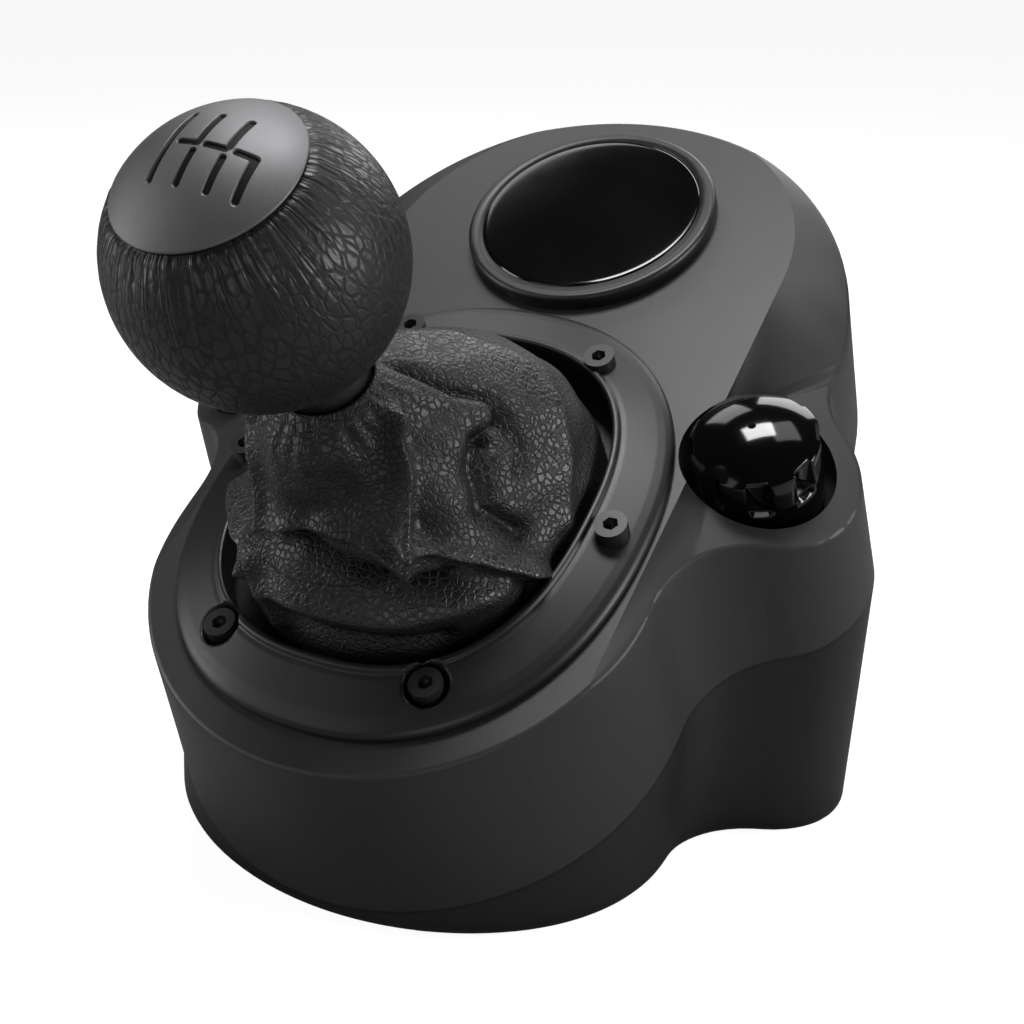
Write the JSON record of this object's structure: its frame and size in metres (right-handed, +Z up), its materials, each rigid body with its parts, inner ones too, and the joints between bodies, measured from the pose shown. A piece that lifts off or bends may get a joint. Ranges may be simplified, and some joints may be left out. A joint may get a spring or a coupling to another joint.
{
  "type": "sim racing gear shifter",
  "caption": "Desk-mounted gear shifter for racing games: leather-covered ball knob and boot on a gated lever, moulded two-part case, and a clamp knob at each side.",
  "frame": {"origin": "on the table, on the symmetry plane, under the line of the ring's two middle screws", "axes": "+Z up, +Y away from the driver, +X to the driver's right"},
  "size_m": [0.1792, 0.2132, 0.1694],
  "materials": {
    "case_plastic": "fine grain",
    "tub_plastic": "fine grain",
    "ring_plastic": "satin",
    "gloss_black": "gloss",
    "dark_steel": "blackened",
    "boot_leather": "grained, soft sheen",
    "knob_leather": "grained and pleated",
    "cap_metal": "satin, grained",
    "inner_plastic": "plain",
    "bush_brass": "turned",
    "bright_steel": "turned",
    "cast_grey": "cast",
    "board_green": "satin",
    "plug_white": "plain",
    "foot_rubber": "matte"
  },
  "bodies": {
    "base": {"upper_case": "case_plastic", "lower_case": "tub_plastic", "boot_ring": "ring_plastic", "ring_screws": "dark_steel", "boot": "boot_leather", "boot_frame": "inner_plastic", "emblem_bezel": "ring_plastic", "emblem_disc": "gloss_black", "gimbal_bushes": "bush_brass", "thrust_washers": "bush_brass", "cradle": "inner_plastic", "cradle_screws": "bright_steel", "gate_plate": "bright_steel", "gate_screws": "bright_steel", "centring_springs": "bright_steel", "side_sensor": "inner_plastic", "circuit_board": "board_green", "board_screws": "bright_steel", "board_plug": "plug_white", "cable_socket": "inner_plastic", "case_screws": "bright_steel", "rubber_feet": "foot_rubber", "mount_inserts": "bush_brass", "spindle_bushes": "bush_brass"},
    "gimbal": {"gimbal_frame": "cast_grey", "gimbal_pins": "bright_steel", "side_magnet": "bright_steel", "shift_sensor": "inner_plastic"},
    "rocker": {"rocker_hub": "cast_grey", "rocker_pins": "bright_steel", "shift_magnet": "bright_steel", "reverse_sensor": "inner_plastic", "reverse_spring": "bright_steel"},
    "lever": {"shift_lever": "bright_steel", "lever_clip": "bright_steel", "spring_collar": "cast_grey", "boot_collar": "inner_plastic", "knob_core": "inner_plastic", "knob_leather": "knob_leather", "knob_cap": "cap_metal"},
    "knob_right": {"side_knob_right": "gloss_black", "spindle_right": "bright_steel"},
    "screw_right": {"clamp_screw_right": "bright_steel", "clamp_clip_right": "bright_steel"},
    "arm_right": {"clamp_arm_right": "tub_plastic", "clamp_nut_right": "bush_brass", "clamp_pad_right": "foot_rubber"},
    "knob_left": {"side_knob_left": "gloss_black", "spindle_left": "bright_steel"},
    "screw_left": {"clamp_screw_left": "bright_steel", "clamp_clip_left": "bright_steel"},
    "arm_left": {"clamp_arm_left": "tub_plastic", "clamp_nut_left": "bush_brass", "clamp_pad_left": "foot_rubber"}
  },
  "joints": [
    {"name": "side_swing", "type": "hinge", "parent": "base", "child": "gimbal", "pos_m": [0, 0.01707, 0.04471], "axis": [0, 0.8333, 0.5528], "range_deg": [-12, 12], "stiffness_Nm_per_rad": 0.8, "deforming": ["boot", "centring_springs"]},
    {"name": "shift_swing", "type": "hinge", "parent": "gimbal", "child": "rocker", "pos_m": [0, 0.01707, 0.04471], "axis": [1, 0, 0], "range_deg": [-12, 12]},
    {"name": "reverse_push", "type": "slide", "parent": "rocker", "child": "lever", "axis": [0, 0.5528, -0.8333], "range_m": [0, 0.005], "stiffness_N_per_m": 1500, "springref_m": -0.004, "deforming": ["reverse_spring"]},
    {"name": "knob_turn_right", "type": "hinge", "parent": "base", "child": "knob_right", "pos_m": [0.0649, 0.03439, 0.08733], "axis": [0, -0.4695, 0.8829], "range_deg": [0, 840]},
    {"name": "screw_turn_right", "type": "hinge", "parent": "base", "child": "screw_right", "pos_m": [0.0649, 0.05035, 0.04], "axis": [0, 0, 1], "range_deg": [0, 840]},
    {"name": "arm_drop_right", "type": "slide", "parent": "base", "child": "arm_right", "axis": [0, 0, -1], "range_m": [0, 0.028]},
    {"name": "knob_turn_left", "type": "hinge", "parent": "base", "child": "knob_left", "pos_m": [-0.0649, 0.03439, 0.08733], "axis": [0, -0.4695, 0.8829], "range_deg": [0, 840]},
    {"name": "screw_turn_left", "type": "hinge", "parent": "base", "child": "screw_left", "pos_m": [-0.0649, 0.05035, 0.04], "axis": [0, 0, 1], "range_deg": [0, 840]},
    {"name": "arm_drop_left", "type": "slide", "parent": "base", "child": "arm_left", "axis": [0, 0, -1], "range_m": [0, 0.028]}
  ],
  "couplings": [
    {"joint": "screw_turn_right", "follows": "knob_turn_right", "ratio": 1},
    {"joint": "arm_drop_right", "follows": "knob_turn_right", "m_per_rad": 0.0019098},
    {"joint": "screw_turn_left", "follows": "knob_turn_left", "ratio": 1},
    {"joint": "arm_drop_left", "follows": "knob_turn_left", "m_per_rad": 0.0019098}
  ]
}
